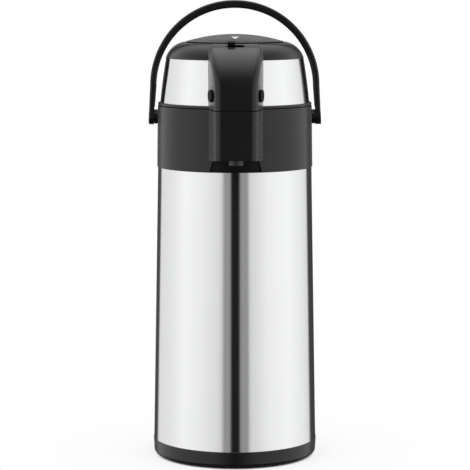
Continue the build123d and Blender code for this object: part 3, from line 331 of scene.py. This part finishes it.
plastics = {
    "darkPlastic": {"color": (0.0045, 0.0045, 0.0048), "gloss": (0.25, 0.30), "grain": 2600.0, "bump": 0.06,
                    "shine": 0.36, "sheen": 0.16},
    "trimPlastic": {"color": (0.0035, 0.0035, 0.0038), "gloss": (0.34, 0.42), "grain": 2200.0, "bump": 0.15,
                    "shine": 0.24, "sheen": 0.02},
    "gripPlastic": {"color": (0.0026, 0.0026, 0.0028), "gloss": (0.50, 0.58), "grain": 1500.0, "bump": 0.25,
                    "shine": 0.06, "sheen": 0.0},
    # a darker, duller copy of the dark plastic for the button's flank: painted shade in the slit round the
    # button
    "flankShadePlastic": {"color": (0.0030, 0.0030, 0.0032), "gloss": (0.55, 0.60), "grain": 2200.0, "bump": 0.12,
                     "shine": 0.10, "sheen": 0.0},
    # a darker, duller copy of the dark plastic for the nose's underside: painted shade under the nose
    "recessShadePlastic": {"color": (0.0028, 0.0028, 0.0030), "gloss": (0.40, 0.48), "grain": 2200.0, "bump": 0.15,
                      "shine": 0.15, "sheen": 0.0},
    # the same glossy black plastic in a lighter colour: painted highlight, so that the nozzle reads grey under
    # the nose
    "nozzleHighlightPlastic": {"color": (0.0100, 0.0100, 0.0102), "gloss": (0.34, 0.40), "grain": 2200.0, "bump": 0.12,
                      "shine": 0.45, "sheen": 0.30},
    "innerPlastic": {"color": (0.62, 0.62, 0.60), "gloss": (0.34, 0.42), "grain": 1800.0, "bump": 0.08,
                     "shine": 0.5, "sheen": 0.0},
    "whiteMark": {"color": (0.85, 0.85, 0.85), "gloss": (0.35, 0.40), "grain": 2600.0, "bump": 0.05,
                  "shine": 0.4, "sheen": 0.0},
}


def makePlastics(settings):
    made = {}
    for name, s in settings.items():
        mat, tree, surface = newMaterial(name, s["color"], Specular_IOR_Level=s["shine"],
                                         Sheen_Weight=s["sheen"], Sheen_Roughness=0.35)
        grain = place(tree, mouldGrain, Grain_Scale=s["grain"], Bump=s["bump"], Gloss_Low=s["gloss"][0],
                      Gloss_High=s["gloss"][1])
        link(tree, grain.outputs["Normal"], surface.inputs["Normal"])
        link(tree, grain.outputs["Roughness"], surface.inputs["Roughness"])
        made[name] = mat
    return made


finish = makePlastics(plastics)
# every finish by its name: the plastics now, then the rubbers and the metals

rubberGrain = {"scale": 900.0, "bump": 0.25, "spread": 0.12}  # spread: how far its roughness varies

rubbers = {  # color, roughness, specular level
    "blackRubber": ((0.030, 0.030, 0.031), 0.75, 0.5),
    # near-black and barely glossy: painted shade for the sheet in the parting line under the lid
    "gapShadeRubber": ((0.004, 0.004, 0.004), 0.75, 0.08),
    "silicone": ((0.55, 0.54, 0.52), 0.55, 0.5),
}


def makeRubbers(settings):
    for name, (color, rough, shine) in settings.items():
        mat, tree, surface = newMaterial(name, color, Specular_IOR_Level=shine)
        grain = place(tree, mouldGrain, Grain_Scale=rubberGrain["scale"], Bump=rubberGrain["bump"],
                      Gloss_Low=rough, Gloss_High=rough + rubberGrain["spread"])
        link(tree, grain.outputs["Normal"], surface.inputs["Normal"])
        link(tree, grain.outputs["Roughness"], surface.inputs["Roughness"])
        finish[name] = mat


makeRubbers(rubbers)

steelSettings = {
    "color": (0.684, 0.688, 0.692),
    "roughness": 0.17,
    "stretch": 1.0,
    "noiseScale": 60.0,
    "lineScale": 5200.0,  # how fine the brushing is across its lines
    "lineBump": 0.05,
    "lineDepth": 0.00005,
    "plain": {  # color, gloss, grain scale, bump
        "polishedSteel": ((0.80, 0.80, 0.79), (0.13, 0.19), 900.0, 0.02),
        "platedSteel": ((0.72, 0.72, 0.73), (0.20, 0.29), 1400.0, 0.05),
    },
}


def makeSteel(s):
    mat, tree, surface = newMaterial(
        "brushedSteel", s["color"], metallic=1.0, roughness=s["roughness"], Anisotropic=s["stretch"],
        Anisotropic_Rotation=0.25)
    tangent = tree.nodes.new("ShaderNodeTangent")
    tangent.direction_type = "RADIAL"
    tangent.axis = "Z"
    link(tree, tangent.outputs[0], surface.inputs["Tangent"])
    across = s["lineScale"] / s["noiseScale"]
    lines = objectNoise(tree, s["noiseScale"], detail=4.0, stretch=(0.5, 0.5, across))
    bump = tree.nodes.new("ShaderNodeBump")
    bump.inputs["Strength"].default_value = s["lineBump"]
    bump.inputs["Distance"].default_value = s["lineDepth"]
    link(tree, lines, bump.inputs["Height"])
    link(tree, bump.outputs[0], surface.inputs["Normal"])
    finish["brushedSteel"] = mat
    for name, (color, gloss, grain, bumps) in s["plain"].items():
        mat, tree, surface = newMaterial(name, color, metallic=1.0, roughness=gloss[0])
        marks = place(tree, mouldGrain, Grain_Scale=grain, Bump=bumps, Gloss_Low=gloss[0],
                      Gloss_High=gloss[1])
        link(tree, marks.outputs["Normal"], surface.inputs["Normal"])
        link(tree, marks.outputs["Roughness"], surface.inputs["Roughness"])
        finish[name] = mat


makeSteel(steelSettings)

nodeFinish = {
    "brushedSteel": ["outer_shell", "window_band"],
    "polishedSteel": ["flask_jacket", "flask_liner", "liner_base", "liner_top", "valve_ball"],
    "platedSteel": ["swivel_screw", "swivel_washer", "neck_screws", "core_screws", "hinge_pin", "return_spring",
                    "latch_spring_left", "latch_spring_right"],
    "darkPlastic": ["base_ring", "collar", "lid_shell", "button", "handle", "swivel_foot"],
    "trimPlastic": ["handle_pins", "handle_washers"],
    # the nose's underside in the darker copy: painted shade
    "recessShadePlastic": ["nose_bottom"],
    # the nozzle in the lighter copy: painted highlight
    "nozzleHighlightPlastic": ["nozzle"],
    "gripPlastic": ["lock_slider", "latch_left", "latch_right"],
    "innerPlastic": ["adjuster", "support_cup", "neck_ring", "siphon_plug", "valve_cage", "dip_tube",
                     "outlet_pipe", "lid_core", "bellows_clamp", "pressure_plate"],
    "blackRubber": ["foot_pad", "screw_cover", "flask_cushion", "vent_plug", "bellows"],
    "silicone": ["mouth_gasket", "plug_gasket", "air_gasket", "outlet_valve"],
    "whiteMark": ["arrow_inlay"],
}


def dressNodes(table):
    for name, members in table.items():
        for member in members:
            mesh = nodes[member].data
            mesh.materials.clear()
            mesh.materials.append(finish[name])


dressNodes(nodeFinish)
print("finishes made:", len(finish))


def boxOf(node):
    low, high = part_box(node)
    return Vector(low), Vector(high)


def finishMesh(name, bm, material, smooth=40.0):
    mesh = bpy.data.meshes.new(name)
    bm.to_mesh(mesh)
    bm.free()
    mesh.shade_smooth()
    if smooth:
        mesh.set_sharp_from_angle(angle=math.radians(smooth))
    mesh.materials.append(finish[material])
    piece = bpy.data.objects.new(name, mesh)
    scene.collection.objects.link(piece)
    return piece


weldDistance = 1e-6  # a CAD node's triangles come loose, and closer corners than this are one


def mergedCopy(node):
    # a welded copy of a node's triangles
    bm = bmesh.new()
    bm.from_mesh(nodes[node].data)
    bmesh.ops.remove_doubles(bm, verts=bm.verts, dist=weldDistance)
    return bm


def smoothStep(value, low, high):
    t = min(max((value - low) / (high - low), 0.0), 1.0)
    return t * t * (3.0 - 2.0 * t)


handle = {
    "pad": 0.00055,  # how much fuller the strap is on its inside than the CAD's
    "inner": 0.0725,  # radius of its bow on the inside, and the height of that bow's centre
    "centre": 0.3418,
    "depth": 0.0026,  # how far into the strap the change reaches
    "between": (0.3235, 0.3405),  # heights between which it fills out
}


def makeHandle(h):
    bm = mergedCopy("handle")
    for v in bm.verts:
        fade = smoothStep(v.co.z, *h["between"])
        out = Vector((v.co.x, 0.0, max(v.co.z - h["centre"], 0.0)))
        reach = 1.0 - (out.length - h["inner"]) / h["depth"]
        if fade > 0.0 and reach > 0.0:
            v.co -= out.normalized() * h["pad"] * fade * min(reach, 1.0)
    piece = finishMesh("handleStrap", bm, "darkPlastic", 35.0)
    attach(piece, "handle")
    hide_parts("handle")


makeHandle(handle)

# a dark sheet in the parting line under the lid: painted shade
gapShade = {
    "inset": 0.0006,  # how far behind the collar's edge the dark sheet of painted shade stands
    "thickness": 0.0008,
    "below": 0.0012,  # depth under the collar's top edge at which its outline is taken
    "sunk": 0.0002,
    "gap": 0.001,
    "clear": 0.00003,
    "step": 0.002,  # spacing of its points
}


def outlineOf(node, height):
    # the outermost loop of a node's section at a height, as points in order
    bm = mergedCopy(node)
    bmesh.ops.bisect_plane(bm, geom=bm.verts[:] + bm.edges[:] + bm.faces[:], dist=1e-7,
                           plane_co=(0.0, 0.0, height), plane_no=(0.0, 0.0, 1.0), clear_inner=True,
                           clear_outer=True)
    bmesh.ops.delete(bm, geom=bm.faces[:], context="FACES_ONLY")
    bmesh.ops.remove_doubles(bm, verts=bm.verts, dist=1e-5)
    last = min(bm.verts, key=lambda vert: vert.co.y)
    first, before, points = last, None, [last.co.copy()]
    while True:
        ways = [edge.other_vert(last) for edge in last.link_edges]
        ways = [vert for vert in ways if vert is not before]  # onwards round the loop
        if not ways or ways[0] is first:
            break
        before, last = last, ways[0]
        points.append(last.co.copy())
    bm.free()
    return points


def evenly(points, step):
    # the closed loop again with points at even distances
    around = points + points[:1]
    lengths = [(b - a).length for a, b in zip(around, around[1:])]
    total, count = sum(lengths), max(12, round(sum(lengths) / step))
    made, i, passed = [], 0, 0.0
    for k in range(count):
        at = total * k / count
        while passed + lengths[i] < at:
            passed += lengths[i]
            i += 1
        made.append(around[i].lerp(around[i + 1], (at - passed) / lengths[i]))
    return made


def inwards(points, distance):
    area = sum(a.x * b.y - b.x * a.y for a, b in zip(points, points[1:] + points[:1]))
    side = distance if area > 0.0 else -distance
    made = []
    for before, here, after in zip(points[-1:] + points[:-1], points, points[1:] + points[:1]):
        along = (after - before).normalized()
        made.append(here + Vector((-along.y, along.x, 0.0)) * side)
    return made


def makeGapShade(v):
    # black sheet on the collar's rim, under the lid: painted shade that fills the parting line so that it reads
    # as one dark line
    rim = boxOf("lid_shell")[0].z - v["gap"]
    outline = evenly(outlineOf("collar", rim - v["below"]), v["step"])
    bm = bmesh.new()
    ring = [bm.verts.new((p.x, p.y, rim - v["sunk"])) for p in inwards(outline, v["inset"])]
    edges = [bm.edges.new(pair) for pair in zip(ring, ring[1:] + ring[:1])]
    wall = bmesh.ops.extrude_edge_only(bm, edges=edges)["geom"]
    upper = [part for part in wall if isinstance(part, bmesh.types.BMVert)]
    bmesh.ops.translate(bm, verts=upper, vec=(0.0, 0.0, v["sunk"] + v["gap"] - v["clear"]))
    bmesh.ops.recalc_face_normals(bm, faces=bm.faces)
    bmesh.ops.solidify(bm, geom=bm.faces[:], thickness=v["thickness"])
    bmesh.ops.recalc_face_normals(bm, faces=bm.faces)
    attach(finishMesh("rimGapShade", bm, "gapShadeRubber", 40.0), "pot")
    print("seal:", len(outline), "points round")


makeGapShade(gapShade)

buttonFlankShade = {
    "reach": 0.0011,  # how far in from its edge the button's flank of painted shade begins
    "flatness": 0.90,  # faces that lean further over than this belong to the flank
}


def makeButton(v):
    # the button again with its flank in a darker, duller copy of its plastic: painted shade, so that the slit
    # round it reads as one dark line
    low, high = boxOf("button")
    radius = (high.x - low.x) / 2.0
    bm = mergedCopy("button")
    for face in bm.faces:
        where = face.calc_center_median()
        if Vector((where.x, where.y)).length > radius - v["reach"] and face.normal.z < v["flatness"]:
            face.material_index = 1
    piece = finishMesh("buttonCap", bm, "darkPlastic", 35.0)
    piece.data.materials.append(finish["flankShadePlastic"])
    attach(piece, "button")
    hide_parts("button")


makeButton(buttonFlankShade)

folding = {  # pieces that shorten as their joint moves, copied here whole and rigid: the end that stays, the joint's travel along the axis
    "bellows": {"joint": "pump_press", "axis": 2, "fixed": 0.3282, "travel": 0.028, "finish": "blackRubber"},
    "return_spring": {"joint": "pump_press", "axis": 2, "fixed": 0.3282, "travel": 0.028,
                      "finish": "platedSteel", "thin": 6.0},
    # thin, in degrees: the flattest edges go, because the wire is finely meshed
    "latch_spring_left": {"joint": "latch_left_press", "axis": 0, "fixed": -0.0036, "travel": 0.00293,
                          "finish": "platedSteel"},
    "latch_spring_right": {"joint": "latch_right_press", "axis": 0, "fixed": 0.0036, "travel": 0.00293,
                           "finish": "platedSteel"},
}


def makeFolding(settings):
    for node, v in settings.items():
        k = v["axis"]
        bm = mergedCopy(node)
        if "thin" in v:
            bmesh.ops.dissolve_limit(bm, angle_limit=math.radians(v["thin"]), verts=bm.verts, edges=bm.edges)
            bmesh.ops.triangulate(bm, faces=bm.faces)
        print(node, "folds,", len(bm.faces), "faces")
        first, *others = node.split("_")
        name = first + "".join(word.capitalize() for word in others) + "Folding"
        piece = finishMesh(name, bm, v["finish"], 40.0)
        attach(piece, "lid")
        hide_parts(node)
        along, anchor = [0.0, 0.0, 0.0], [0.0, 0.0, 0.0]
        along[k], anchor[k] = 1.0, v["fixed"]
        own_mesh(piece)


makeFolding(folding)
print("pieces made")
